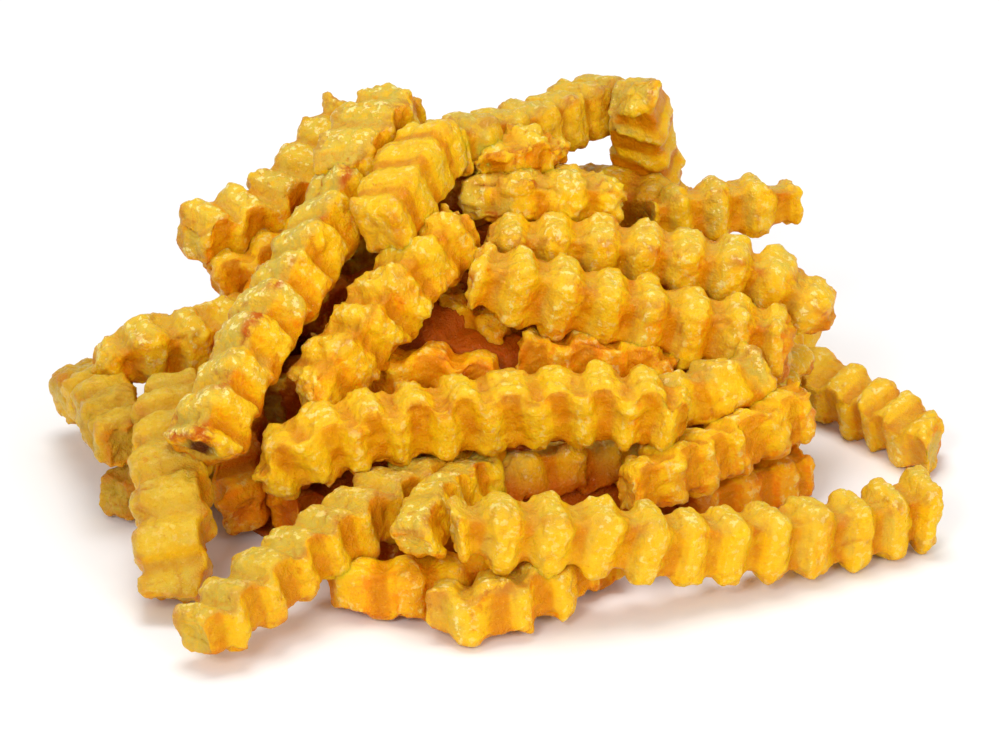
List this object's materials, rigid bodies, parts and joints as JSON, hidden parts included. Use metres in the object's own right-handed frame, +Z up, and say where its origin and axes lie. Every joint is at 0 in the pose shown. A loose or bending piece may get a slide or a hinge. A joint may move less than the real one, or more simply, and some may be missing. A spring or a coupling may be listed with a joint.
{
  "type": "heap of crinkle-cut french fries",
  "caption": "Loose heap of crinkle-cut fried potato sticks with waves across all four sides, lying as it fell on a flat surface, long pieces in front.",
  "frame": {"origin": "on the surface that the heap rests on, under the middle of the heap's box", "axes": "+X along the heap's longest side, +Y away from the side that the picture shows, +Z up"},
  "size_m": [0.1853, 0.1773, 0.0733],
  "materials": {
    "fried_potato": "golden fried crust, slightly oily, paler on the ridges and darker orange in the valleys"
  },
  "bodies": {
    "root": {"fries_heap": "fried_potato"}
  },
  "joints": []
}
